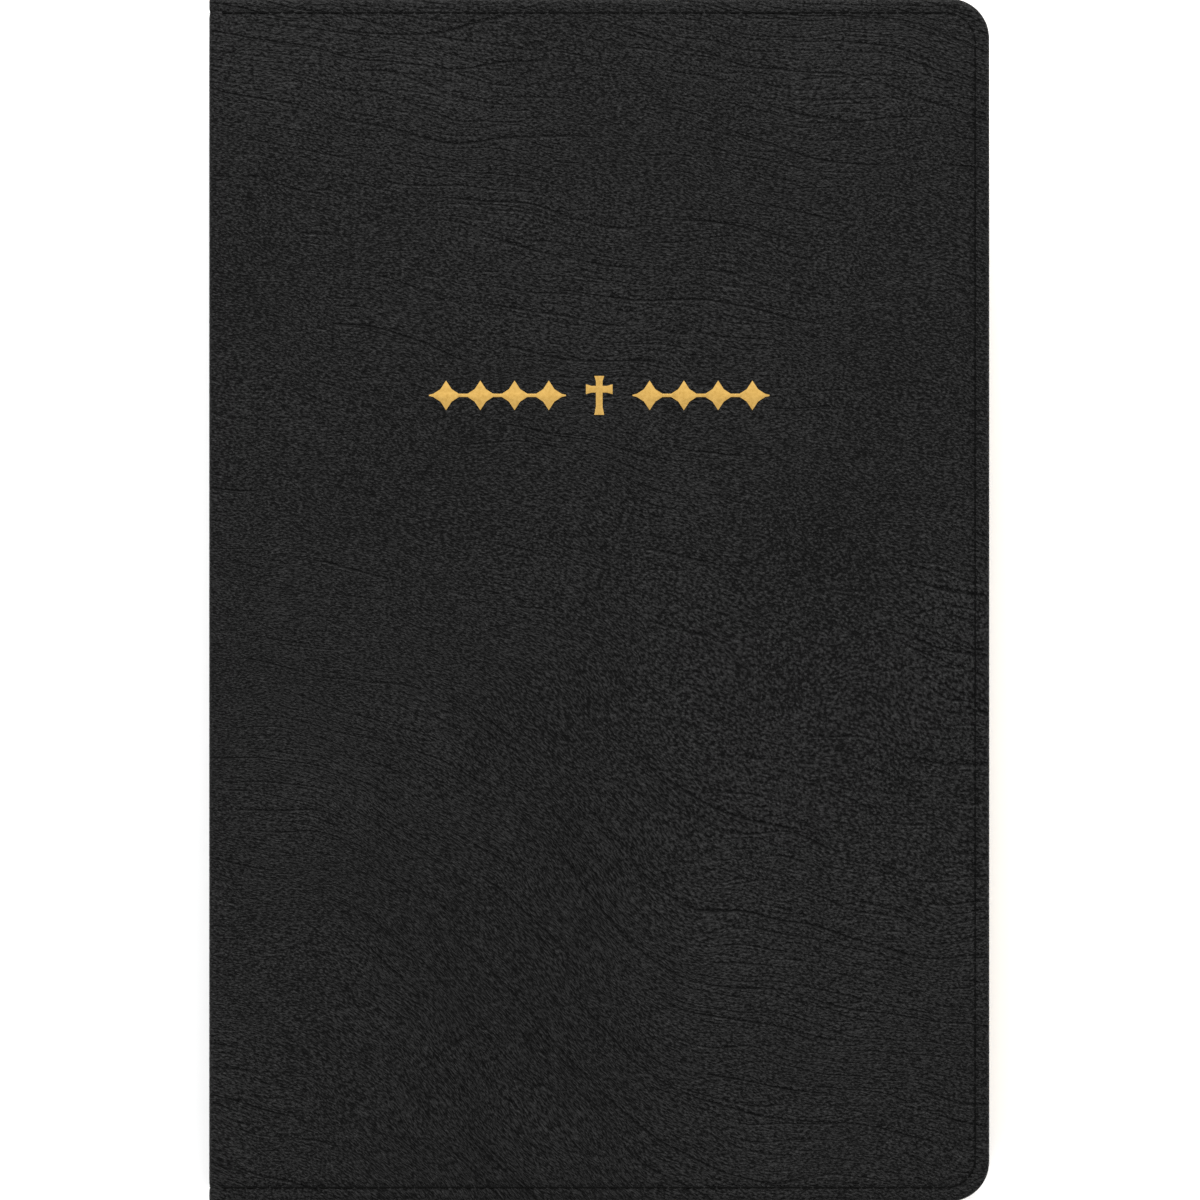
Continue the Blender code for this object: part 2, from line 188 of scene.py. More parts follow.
# Where the hide was pulled, at the head and low down, wrinkles run into creases.
patches = add_node(
    tree, "ShaderNodeTexNoise", None,
    {"Vector": flow_place(tree, PULL_PATCH, PULL_PATCH), "Scale": 1.0, "Detail": 2.0},
).outputs[0]
head_pull = add_node(
    tree, "ShaderNodeMapRange", SMOOTH,
    {"Value": bent_y, "From Min": HEAD_PART[0], "From Max": HEAD_PART[1], "To Max": HEAD_PULL},
).outputs[0]
pulled = add_node(tree, "ShaderNodeMath", ADD, {0: patches, 1: head_pull}).outputs[0]
pulled = add_node(tree, "ShaderNodeMath", MULTIPLY_ADD, {0: tail_part, 1: TAIL_PULL, 2: pulled}).outputs[0]
strength = add_node(
    tree, "ShaderNodeMapRange", SMOOTH,
    {"Value": pulled, "From Min": 0.35, "From Max": 0.7, "To Min": 0.7, "To Max": 1.2},
).outputs[0]

# The runs of creases follow the flow, each broken into lengths that taper away.
crease = None
for spacing, length, half_width, depth in CREASE_RUNS:
    wander = add_node(
        tree, "ShaderNodeTexNoise", None,
        {"Vector": flow_place(tree, 2.0 * length, 7.0 * spacing), "Scale": 1.0, "Detail": 1.5},
    ).outputs[0]
    level = add_node(
        tree, "ShaderNodeMath", MULTIPLY_ADD, {0: wander, 1: CREASE_WANDER * spacing, 2: across}
    ).outputs[0]
    level = add_node(tree, "ShaderNodeMath", MULTIPLY_ADD, {0: wrinkles, 1: 0.5, 2: level}).outputs[0]
    away = add_node(tree, "ShaderNodeMath", {"operation": "PINGPONG"}, {0: level, 1: spacing / 2}).outputs[0]
    line = add_node(
        tree, "ShaderNodeMapRange", SMOOTH,
        {"Value": away, "From Min": 0.0, "From Max": half_width, "To Min": 1.0, "To Max": 0.0},
    ).outputs[0]
    lengths = add_node(
        tree, "ShaderNodeTexNoise", None,
        {"Vector": flow_place(tree, length, 1.1 * spacing), "Scale": 1.0, "Detail": 1.0},
    ).outputs[0]
    chance = add_node(tree, "ShaderNodeMath", MULTIPLY_ADD, {0: pulled, 1: 0.9, 2: lengths}).outputs[0]
    shown = add_node(
        tree, "ShaderNodeMapRange", SMOOTH,
        {"Value": chance, "From Min": 0.98, "From Max": 1.2, "To Min": 0.0, "To Max": depth},
    ).outputs[0]
    line = add_node(tree, "ShaderNodeMath", MULTIPLY, {0: line, 1: shown}).outputs[0]
    if crease is not None:
        line = add_node(tree, "ShaderNodeMath", {"operation": "MAXIMUM"}, {0: crease, 1: line}).outputs[0]
    crease = line

# Wrinkles and pebbles rise, and creases sink.
grain = add_node(tree, "ShaderNodeMath", MULTIPLY, {0: wrinkles, 1: WRINKLE_RISE}).outputs[0]
grain = add_node(tree, "ShaderNodeMath", MULTIPLY_ADD, {0: pebbles, 1: -PEBBLE_SINK, 2: grain}).outputs[0]
grain = add_node(tree, "ShaderNodeMath", MULTIPLY, {0: grain, 1: strength}).outputs[0]
height = add_node(tree, "ShaderNodeMath", MULTIPLY_ADD, {0: crease, 1: -CREASE_SINK, 2: grain}).outputs[0]
bump = add_node(tree, "ShaderNodeBump", None, {"Height": height, "Strength": 1.0, "Distance": MM})
tree.links.new(bump.outputs[0], shader.inputs["Normal"])

# Painted shade and highlight: the grain's colour is darker in its valleys, pebbles and creases and
# paler on its ridges, as light falls on the relief. It is also paler where the hide was pulled.
painted_shade_and_tone = wrinkles
for source, middle, share in ((crease, 0.0, -0.14), (pulled, PULL_MIDDLE, 0.17), (pebbles, 0.42, -0.3)):
    centred = add_node(tree, "ShaderNodeMath", SUBTRACT, {0: source, 1: middle}).outputs[0]
    painted_shade_and_tone = add_node(tree, "ShaderNodeMath", MULTIPLY_ADD, {0: centred, 1: share, 2: painted_shade_and_tone}).outputs[0]
shade_and_tone_ramp = add_node(tree, "ShaderNodeValToRGB", None, {"Fac": painted_shade_and_tone})
for stop, position, colour in zip(shade_and_tone_ramp.color_ramp.elements, (0.38, 0.69), (LEATHER_PAINTED_SHADE, LEATHER_PAINTED_HIGHLIGHT)):
    stop.position = position
    stop.color = srgb(colour)
tree.links.new(shade_and_tone_ramp.outputs[0], shader.inputs["Base Color"])
rough = add_node(
    tree, "ShaderNodeMapRange", None,
    {"Value": wrinkles, "From Min": 0.3, "From Max": 0.7, "To Min": 0.7, "To Max": 0.5},
)
tree.links.new(rough.outputs[0], shader.inputs["Roughness"])

# ---------------------------------------------------------------- Cover leather
# One sheet of leather covers both boards and the spine, and is turned in round the
# boards at head, tail and fore-edge. Each cover is its own stretch of the sheet from
# the joint outwards, with a stitched channel pressed in near the edge.

cover_low, cover_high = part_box("front_cover_leather")
fore_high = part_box("front_cover_leather_fore_edge")[1]
SPINE_X = cover_low[0]
FORE_X = fore_high[0]
HALF_Y = cover_high[1]
TOP = cover_high[2]
COVER = cover_high[2] - cover_low[2]
EDGE = COVER / 2
CORNER = 7.8 * MM
TURN_IN = 12.5 * MM
SKIN = 0.45 * MM
HINGE_X = SPINE_X + EDGE
SEAM_X = SPINE_X + 5.0 * MM
STITCH_INSET = 2.8 * MM
CHANNEL_DEPTH = 0.15 * MM
CHANNEL_WIDTH = 0.5 * MM
EDGE_ANGLES = (0, 15, 30, 45, 60, 75, 90)
FLAT_INSETS = (1.7, 2.1, 2.4, 2.6, 2.8, 3.0, 3.2, 3.5, 4.0, 5.0, 6.5, 8.0, 10.0, 12.5)
GRID_STEP = 3.0 * MM
SMOOTH_ANGLE = 40
SWELL = 0.035 * MM
SWELL_INSET = 4.0 * MM
SWELL_EASE = 12.0 * MM
SWELL_SEAM_EASE = 20.0 * MM


def round_corner(from_side, from_end, corner, block):
    """Moves a point of a square corner onto the round corner, loop by loop.

    Both values are distances from the sheet's edges. Each loop keeps its inset.
    """
    inset = min(from_side, from_end)
    reach = max(from_side, from_end)
    if reach >= block or inset >= corner:
        return from_side, from_end
    share = (reach - inset) / (block - inset)
    half_arc = (corner - inset) * math.pi / 4
    travel = share * (half_arc + block - corner)
    if travel <= half_arc:
        angle = math.pi / 4 - travel / (corner - inset)
        near = corner - (corner - inset) * math.cos(angle)
        far = corner - (corner - inset) * math.sin(angle)
    else:
        near = inset
        far = corner + travel - half_arc
    return (near, far) if from_side <= from_end else (far, near)


def spread(low, high, step):
    """Evenly spaced values from low to high, about a step apart."""
    count = max(1, round((high - low) / step))
    return [low + (high - low) * index / count for index in range(count + 1)]


def leaf_grid(low_columns, high_x, half_y, corner, insets, step=GRID_STEP):
    """Rows of (x, y, inset) over a sheet that is square at the spine and round at the fore-edge."""
    block = insets[-1]
    columns = [*low_columns, *spread(low_columns[-1], high_x - block, step)[1:]]
    columns += [high_x - inset for inset in reversed(insets[:-1])]
    rows = [inset - half_y for inset in insets]
    rows += spread(block - half_y, half_y - block, step)[1:-1]
    rows += [half_y - inset for inset in reversed(insets)]
    grid = []
    for x in columns:
        line = []
        for y in rows:
            side, end = high_x - x, half_y - abs(y)
            inset = min(side, end)
            side, end = round_corner(side, end, corner, block)
            line.append((high_x - side, math.copysign(half_y - end, y), inset))
        grid.append(line)
    return grid


def edge_fall(inset, radius):
    """How far a rounded edge has fallen below the flat at an inset."""
    if inset >= radius:
        return 0.0
    return radius - math.sqrt(max(0.0, radius ** 2 - (radius - inset) ** 2))


def store_rest_place(mesh):
    """Keeps each point's place in the closed book, so that grain stays on a bent sheet."""
    places = np.empty(len(mesh.vertices) * 3, np.float32)
    mesh.vertices.foreach_get("co", places)
    kept = mesh.attributes.new("rest_place", "FLOAT_VECTOR", "POINT")
    kept.data.foreach_set("vector", places)


def finish_mesh(name, shape, materials):
    """A mesh object at the origin, with smooth faces and its materials."""
    mesh = bpy.data.meshes.new(name)
    shape.to_mesh(mesh)
    shape.free()
    mesh.shade_smooth()
    mesh.set_sharp_from_angle(angle=math.radians(SMOOTH_ANGLE))
    for material in materials:
        mesh.materials.append(material)
    made = bpy.data.objects.new(name, mesh)
    bpy.context.scene.collection.objects.link(made)
    store_rest_place(mesh)
    return made


def apply_modifiers(piece):
    """Turns a piece's evaluated shape into its plain mesh."""
    evaluated = piece.evaluated_get(bpy.context.evaluated_depsgraph_get())
    mesh = bpy.data.meshes.new_from_object(evaluated)
    piece.modifiers.clear()
    piece.data = mesh
    mesh.set_sharp_from_angle(angle=math.radians(SMOOTH_ANGLE))
    old = mesh.attributes.get("rest_place")
    if old:
        mesh.attributes.remove(old)
    store_rest_place(mesh)
    return piece


def thicken(piece, thickness):
    """Gives an open sheet its thickness, measured inwards from its outer face."""
    solidify = piece.modifiers.new("thickness", "SOLIDIFY")
    solidify.thickness = thickness
    solidify.offset = -1.0
    solidify.use_even_offset = True
    solidify.thickness_clamp = 0.9
    return apply_modifiers(piece)


def slow_swell(x, y):
    """A limp cover never lies quite flat: a shallow swell, in metres below its top."""
    waves = 2 + math.sin(x / 0.021 + 0.8) * math.cos(y / 0.034) + math.sin(x / 0.043 - y / 0.027)
    return SWELL * waves


def cover_face(x, y, inset):
    """Depth of a cover's outer face below its flat: edge, channel and swell."""
    channel = CHANNEL_DEPTH * math.exp(-((inset - STITCH_INSET) / CHANNEL_WIDTH) ** 2)
    from_edge = min(1.0, max(0.0, (inset - SWELL_INSET) / SWELL_EASE))
    from_seam = min(1.0, max(0.0, (x - SEAM_X) / SWELL_SEAM_EASE))
    return edge_fall(inset, EDGE) + channel + slow_swell(x, y) * (from_edge * from_seam)


EDGE_INSETS = [EDGE * (1 - math.cos(math.radians(angle))) for angle in EDGE_ANGLES]
COVER_INSETS = [*EDGE_INSETS, *[inset * MM for inset in FLAT_INSETS]]


def cover_panel(name, front):
    """The outer face of a cover and its turned-in margin, as one open sheet made thick."""
    grid = leaf_grid([SEAM_X], FORE_X, HALF_Y, CORNER, COVER_INSETS)
    flip = (lambda z: z) if front else (lambda z: TOP - z)
    shape = bmesh.new()
    outer, inner = {}, {}
    for i, line in enumerate(grid):
        for j, (x, y, inset) in enumerate(line):
            outer[i, j] = shape.verts.new((x, y, flip(TOP - cover_face(x, y, inset))))
            if inset < 1e-9:
                inner[i, j] = outer[i, j]
            elif inset <= TURN_IN + 1e-9:
                fall = edge_fall(inset, EDGE)
                inner[i, j] = shape.verts.new((x, y, flip(TOP - COVER + fall)))
    for i in range(len(grid) - 1):
        for j in range(len(grid[0]) - 1):
            quad = [(i, j), (i + 1, j), (i + 1, j + 1), (i, j + 1)]
            shape.faces.new([outer[key] for key in (quad if front else quad[::-1])])
            if all(key in inner for key in quad):
                back = [inner[key] for key in (quad[::-1] if front else quad)]
                if len(set(back)) == 4:
                    shape.faces.new(back)
    piece = finish_mesh(name, shape, [bonded_leather])
    return thicken(piece, SKIN)


front_skin = cover_panel("front_cover_skin", True)
back_skin = cover_panel("back_cover_skin", False)

# ---------------------------------------------------------------- Spine leather
# The same sheet bends round the back of the book. The stretch at each joint is a narrow
# strip of its own between the parts it joins.

BACK_JOINT = Vector((HINGE_X, 0, EDGE))
FRONT_JOINT = Vector((HINGE_X, 0, TOP - EDGE))
MIDDLE_Z = TOP / 2
SPINE_DEPTH = 1.5 * MM
JOINT_DEPTH = 1.0 * MM
JOINT_TAPER = 3.5 * MM
TURN_ROWS = (12.5, 9.0, 6.0, 4.0, 2.5, 1.6)


def edge_to_edge(depth):
    """(y, level) from the turn-in at the tail, over the outer face, to the turn-in at the head."""
    half = depth / 2
    line = [(inset * MM, -depth) for inset in TURN_ROWS]
    for angle in [math.radians(degrees) for degrees in EDGE_ANGLES[::-1]]:
        line.append((half * (1 - math.cos(angle)), half * (1 - math.sin(angle)) - depth))
    for angle in [math.radians(degrees) for degrees in EDGE_ANGLES[1:]]:
        line.append((half * (1 - math.cos(angle)), half * (math.sin(angle) - 1)))
    for inset in [value * MM for value in FLAT_INSETS]:
        line.append((inset, -CHANNEL_DEPTH * math.exp(-((inset - STITCH_INSET) / CHANNEL_WIDTH) ** 2)))
    tail = [(inset - HALF_Y, level) for inset, level in line]
    middle = [(y, 0.0) for y in spread(TURN_IN - HALF_Y, HALF_Y - TURN_IN, GRID_STEP)[1:-1]]
    head = [(-y, level) for y, level in reversed(tail)]
    return [*tail, *middle, *head]


def wrapped_strip(name, stations):
    """A strip of the case, turned in at head and tail, from (point, outward, depth) stations."""
    shape = bmesh.new()
    lines = []
    for point, outward, depth in stations:
        places = [point + outward * level + Vector((0, y, 0)) for y, level in edge_to_edge(depth)]
        lines.append([shape.verts.new(place) for place in places])
    for first, second in zip(lines, lines[1:]):
        for index in range(len(first) - 1):
            shape.faces.new((first[index], first[index + 1], second[index + 1], second[index]))
    shape.normal_update()
    shape.faces.ensure_lookup_table()
    if shape.faces[len(lines[0]) // 2].normal.dot(stations[0][1]) < 0:
        bmesh.ops.reverse_faces(shape, faces=shape.faces)
    return thicken(finish_mesh(name, shape, [bonded_leather]), SKIN)


def depth_from_joint(full, distance):
    """The case is thinnest at a joint, and thickens smoothly away from it."""
    share = min(1.0, distance / JOINT_TAPER)
    return JOINT_DEPTH + (full - JOINT_DEPTH) * share * share * (3 - 2 * share)


def joint_stations(joint, first, last):
    """Stations round a joint, from one angle to another in degrees."""
    made = []
    for share in spread(0.0, 1.0, 0.2):
        angle = math.radians(first + (last - first) * share)
        outward = Vector((math.cos(angle), 0, math.sin(angle)))
        made.append((joint + outward * EDGE, outward, JOINT_DEPTH))
    return made


def spine_stations(joint, side):
    """From 45 degrees round a joint to the middle of the spine."""
    made = joint_stations(joint, 180 - 45 * side, 180)
    for distance in spread(0.0, MIDDLE_Z - EDGE, 1.2 * MM)[1:]:
        point = Vector((SPINE_X, 0, joint.z - side * distance))
        made.append((point, Vector((-1, 0, 0)), depth_from_joint(SPINE_DEPTH, distance)))
    return made


def fold_stations(joint, side):
    """From 45 degrees round a joint to the seam on the cover."""
    made = joint_stations(joint, 180 - 45 * side, 180 - 90 * side)
    for distance in spread(0.0, SEAM_X - HINGE_X, 0.8 * MM)[1:]:
        point = Vector((joint.x + distance, 0, joint.z + side * EDGE))
        made.append((point, Vector((0, 0, side)), depth_from_joint(COVER, distance)))
    return made


spine_lower = wrapped_strip("spine_skin_lower", spine_stations(BACK_JOINT, -1))
spine_upper = wrapped_strip("spine_skin_upper", spine_stations(FRONT_JOINT, 1))
front_fold = wrapped_strip("front_joint_skin", fold_stations(FRONT_JOINT, 1))
back_fold = wrapped_strip("back_joint_skin", fold_stations(BACK_JOINT, -1))


def joint_turns(joint, side):
    """The three points round a joint where its strips start and end."""
    return [tuple(joint_stations(joint, 180 - degrees * side, 180)[0][0]) for degrees in (0, 45, 90)]


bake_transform(front_skin)
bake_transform(back_skin)
turns = joint_turns(FRONT_JOINT, 1)
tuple(turns[0])
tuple(turns[1])
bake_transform(spine_upper)
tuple(turns[1])
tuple(turns[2])
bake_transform(front_fold)
turns = joint_turns(BACK_JOINT, -1)
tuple(turns[1])
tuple(turns[0])
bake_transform(spine_lower)
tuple(turns[1])
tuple(turns[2])
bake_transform(back_fold)
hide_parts("front_cover_leather", "front_cover_leather_fore_edge")
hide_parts("back_cover_leather", "back_cover_leather_fore_edge")
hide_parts("spine_leather")

# ---------------------------------------------------------------- Boards and pastedowns
# Inside each cover lies a thin grey board. A sheet of cream
# endpaper is pasted over the board and over the raw edges of the turned-in leather.

BOARD = 0.5 * MM
BOARD_INSET = 1.3 * MM
BOARD_X = HINGE_X + 4.3 * MM
PASTE_INSET = 8.5 * MM
PASTE_X = HINGE_X + 1.2 * MM
PASTE = 0.1 * MM
PASTE_GAP = 0.03 * MM
PASTE_CORNER = 3.0 * MM
SHEET_INSETS = [value * MM for value in (0.0, 0.15, 0.6, 2.0, 5.0, 9.0)]

grey_board, tree, shader = new_material("grey board, pressed pulp", "#8d8984", 0.92)
fibres = add_node(
    tree, "ShaderNodeTexNoise", None, {"Vector": rest_millimetres(tree), "Scale": 1.4, "Detail": 5.0}
)
fleck = add_node(tree, "ShaderNodeValToRGB", None, {"Fac": fibres.outputs[0]})
fleck.color_ramp.elements[0].color = srgb("#77736d")
fleck.color_ramp.elements[1].color = srgb("#a19d96")
tree.links.new(fleck.outputs[0], shader.inputs["Base Color"])


def laid_paper(name, pale, shade, fibre_size):
    """Uncoated paper: a warm white with a soft mottle and a barely raised fibre."""
    made, tree, shader = new_material(name, pale, 0.86)
    shader.inputs["Specular IOR Level"].default_value = 0.3
    place = rest_millimetres(tree)
    mottle = add_node(
        tree, "ShaderNodeTexNoise", None,
        {"Vector": place, "Scale": 1 / fibre_size, "Detail": 4.0, "Roughness": 0.6},
    ).outputs[0]
    ramp = add_node(tree, "ShaderNodeValToRGB", None, {"Fac": mottle})
    ramp.color_ramp.elements[0].position = 0.3
    ramp.color_ramp.elements[1].position = 0.7
    ramp.color_ramp.elements[0].color = srgb(shade)
    ramp.color_ramp.elements[1].color = srgb(pale)
    tree.links.new(ramp.outputs[0], shader.inputs["Base Color"])
    raised = add_node(
        tree, "ShaderNodeBump", None, {"Height": mottle, "Strength": 0.5, "Distance": 0.03 * MM}
    )
    tree.links.new(raised.outputs[0], shader.inputs["Normal"])
    return made


endpaper = laid_paper("endpaper, cream laid", "#cdc3ac", "#c5bba3", 1.8)


def leaf_slab(name, low_columns, high_x, half_y, corner, insets, levels, materials, pick=None, step=GRID_STEP):
    """A closed sheet between two heights; levels gives (low, high) at (x, y, inset)."""
    grid = leaf_grid(low_columns, high_x, half_y, corner, insets, step)
    shape = bmesh.new()
    tops, bottoms = [], []
    for line in grid:
        pairs = [(place, levels(*place)) for place in line]
        tops.append([shape.verts.new((x, y, high)) for (x, y, _), (_, high) in pairs])
        bottoms.append([shape.verts.new((x, y, low)) for (x, y, _), (low, _) in pairs])
    last_i, last_j = len(grid) - 1, len(grid[0]) - 1

    def face(corners, kind):
        made = shape.faces.new(corners)
        made.material_index = pick(kind) if pick else 0

    for i in range(last_i):
        for j in range(last_j):
            face((tops[i][j], tops[i + 1][j], tops[i + 1][j + 1], tops[i][j + 1]), "top")
            face((bottoms[i][j], bottoms[i][j + 1], bottoms[i + 1][j + 1], bottoms[i + 1][j]), "bottom")
    for i in range(last_i):
        face((bottoms[i][0], bottoms[i + 1][0], tops[i + 1][0], tops[i][0]), "edge")
        face((tops[i][last_j], tops[i + 1][last_j], bottoms[i + 1][last_j], bottoms[i][last_j]), "edge")
    for j in range(last_j):
        face((bottoms[0][j + 1], bottoms[0][j], tops[0][j], tops[0][j + 1]), "fold")
        face((bottoms[last_i][j], bottoms[last_i][j + 1], tops[last_i][j + 1], tops[last_i][j]), "edge")
    bmesh.ops.remove_doubles(shape, verts=shape.verts, dist=1e-7)
    bmesh.ops.recalc_face_normals(shape, faces=shape.faces)
    return finish_mesh(name, shape, materials)


for side, front in (("front", True), ("back", False)):
    flip = (lambda low, high: (low, high)) if front else (lambda low, high: (TOP - high, TOP - low))
    board_low = TOP - EDGE - BOARD / 2
    paper_low = TOP - COVER - PASTE_GAP - PASTE
    board = leaf_slab(
        side + "_board_sheet", [BOARD_X], FORE_X - BOARD_INSET, HALF_Y - BOARD_INSET, CORNER - BOARD_INSET,
        SHEET_INSETS, lambda x, y, inset: flip(board_low, board_low + BOARD), [grey_board],
    )
    paper = leaf_slab(
        side + "_pastedown_sheet", [PASTE_X], FORE_X - PASTE_INSET, HALF_Y - PASTE_INSET,
        PASTE_CORNER, SHEET_INSETS, lambda x, y, inset: flip(paper_low, paper_low + PASTE), [endpaper],
    )
    for piece, nodes, slot in (
        (board, (side + "_board", side + "_board_fore_edge"), "grey_board"),
        (paper, (side + "_pastedown", side + "_pastedown_fore_edge"), "endpaper"),
    ):
        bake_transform(piece)
        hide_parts(*nodes)

# ---------------------------------------------------------------- Sections
# Thin pages folded in gatherings and sewn through their folds. Their three cut edges
# are burnished and gilded, and the leaves still show there as hair-fine lines.

EDGE_GOLD = "#c9a353"
LEAF_LINE = 0.21
SECTION_GAP = 0.3 * MM
SECTION_SLACK = 0.02 * MM
UNEVEN_TRIM = 0.12
EDGE_EASE = 0.12 * MM
EASE_REACH = 0.6 * MM
FOLD_REACH = 14.0 * MM
PAGE_CORNER = 6.0 * MM
PAGE_INSETS = [value * MM for value in (0.0, 0.5, 1.5, 3.0, 6.0, 9.0)]
FOLD_ANGLES = (0, 18, 36, 54, 72, 90)
FOLD_STEP = 1.0 * MM
FOLD_SPARE = 3.0 * MM
SECTION_STEP = 12.0 * MM

page_gilt, tree, shader = new_material("gilded page edge", EDGE_GOLD, 0.42, 0.85)
# Real leaves are 0.04 mm thick; the lines are drawn five times coarser so that they show.
leaf_steps = add_node(
    tree, "ShaderNodeVectorMath", MULTIPLY, {0: rest_millimetres(tree), 1: (0.02, 0.02, 1 / LEAF_LINE)}
)
leaves = add_node(
    tree, "ShaderNodeTexNoise", None,
    {"Vector": leaf_steps.outputs[0], "Scale": 1.0, "Detail": 3.0, "Roughness": 0.7},
).outputs[0]
ramp = add_node(tree, "ShaderNodeValToRGB", None, {"Fac": leaves})
ramp.color_ramp.elements[0].position = 0.32
ramp.color_ramp.elements[1].position = 0.66
ramp.color_ramp.elements[0].color = srgb("#8a6a2c")
ramp.color_ramp.elements[1].color = srgb("#dcb868")
tree.links.new(ramp.outputs[0], shader.inputs["Base Color"])
leaf_bump = add_node(tree, "ShaderNodeBump", None, {"Height": leaves, "Strength": 0.7, "Distance": 0.05 * MM})
tree.links.new(leaf_bump.outputs[0], shader.inputs["Normal"])

bible_paper = laid_paper("bible paper, thin opaque", "#d0cbbd", "#c9c3b3", 2.6)

# Print is only grey bars in two columns, broken where words would end.
COLUMN_GAP = 5.0
COLUMN_WIDTH = 54.0
COLUMN_HEIGHT = 97.0
LINE_PITCH = 3.3
LINE_SHARE = 0.42
WORD_STEPS = 0.42
WORD_SHARE = 0.6
INK = 0.62
printed_paper = laid_paper("bible paper, printed in columns", "#d0cbbd", "#c9c3b3", 2.6)
tree = printed_paper.node_tree
shader = tree.nodes["Principled BSDF"]
page_place = add_node(tree, "ShaderNodeSeparateXYZ", None, {"Vector": rest_millimetres(tree)})
page_x, page_y = page_place.outputs["X"], page_place.outputs["Y"]
from_middle, from_centre = (
    add_node(tree, "ShaderNodeMath", {"operation": "ABSOLUTE"}, {0: value}).outputs[0]
    for value in (page_x, page_y)
)
row = add_node(tree, "ShaderNodeMath", {"operation": "DIVIDE"}, {0: page_y, 1: LINE_PITCH}).outputs[0]
row_number = add_node(tree, "ShaderNodeMath", {"operation": "FLOOR"}, {0: row}).outputs[0]
row_part = add_node(tree, "ShaderNodeMath", {"operation": "FRACT"}, {0: row}).outputs[0]
along_row = add_node(tree, "ShaderNodeMath", MULTIPLY, {0: page_x, 1: WORD_STEPS}).outputs[0]
word_room = add_node(tree, "ShaderNodeCombineXYZ", None, {"X": along_row, "Y": row_number}).outputs[0]
word_noise = add_node(tree, "ShaderNodeTexNoise", None, {"Vector": word_room, "Scale": 1.0, "Detail": 0.0})
words = word_noise.outputs[0]
inked = INK
for value, operation, limit in (
    (from_middle, "GREATER_THAN", COLUMN_GAP / 2),
    (from_middle, "LESS_THAN", COLUMN_GAP / 2 + COLUMN_WIDTH),
    (from_centre, "LESS_THAN", COLUMN_HEIGHT),
    (row_part, "LESS_THAN", LINE_SHARE),
    (words, "LESS_THAN", WORD_SHARE),
):
    inside = add_node(tree, "ShaderNodeMath", {"operation": operation}, {0: value, 1: limit}).outputs[0]
    inked = add_node(tree, "ShaderNodeMath", MULTIPLY, {0: inside, 1: inked}).outputs[0]
paper_colour = shader.inputs["Base Color"].links[0].from_socket
inked_paper = add_node(
    tree, "ShaderNodeMix", {"data_type": "RGBA"}, {0: inked, 6: paper_colour, 7: srgb("#4a4845")}
)
tree.links.new(inked_paper.outputs[2], shader.inputs["Base Color"])

section_names = sorted(name for name in frame["nodes"] if name.startswith("section_"))
front_names = frame["record"]["behaviour"]["bodies"]["text_front"]
front_sections = [name for name in frame["nodes"] if name in front_names]
block_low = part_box(section_names[-1])[0]
block_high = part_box(section_names[0])[1]
pitch = (block_high[2] - block_low[2] + SECTION_GAP) / len(section_names)
FOLD_X = block_low[0]
PAGE_X = block_high[0]
PAGE_HALF = block_high[1]
random = np.random.default_rng(7)


def section_piece(name, printed):
    """One folded gathering, filling its share of the block, with a round fold."""
    low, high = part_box(name)
    middle = (low[2] + high[2]) / 2
    half = (pitch - SECTION_SLACK) / 2
    round_fold = [FOLD_X + half * (1 - math.cos(math.radians(angle))) for angle in FOLD_ANGLES]
    columns = [*round_fold, *spread(round_fold[-1], FOLD_X + FOLD_REACH + FOLD_SPARE, FOLD_STEP)[1:]]
    trim = float(random.uniform(0.0, UNEVEN_TRIM)) * MM

    def levels(x, y, inset):
        from_fold = min(half, x - FOLD_X)
        reach = math.sqrt(max(0.0, half ** 2 - (half - from_fold) ** 2)) if from_fold < half else half
        rise = max(0.0, reach - EDGE_EASE * max(0.0, 1 - inset / EASE_REACH))
        return middle - rise, middle + rise

    materials = [bible_paper, page_gilt, printed_paper]
    order = {"edge": 1, "fold": 0, "top": 0, "bottom": 0}
    if printed:
        order[printed] = 2
    piece = leaf_slab(
        name + "_leaves", columns, PAGE_X - trim, PAGE_HALF - trim, PAGE_CORNER, PAGE_INSETS, levels,
        materials, lambda kind: order[kind], SECTION_STEP,
    )
    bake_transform(piece)
    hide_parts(name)
    return piece


for index, name in enumerate(section_names):
    if index in (len(front_sections) - 1, len(section_names) - 1):
        section_piece(name, "bottom")
    elif index in (0, len(front_sections)):
        section_piece(name, "top")
    else:
        section_piece(name, None)

# ---------------------------------------------------------------- Flyleaves
# A free leaf of endpaper lies between each cover and the pages. It is cut and gilded
# with the block, so it has the same edges.

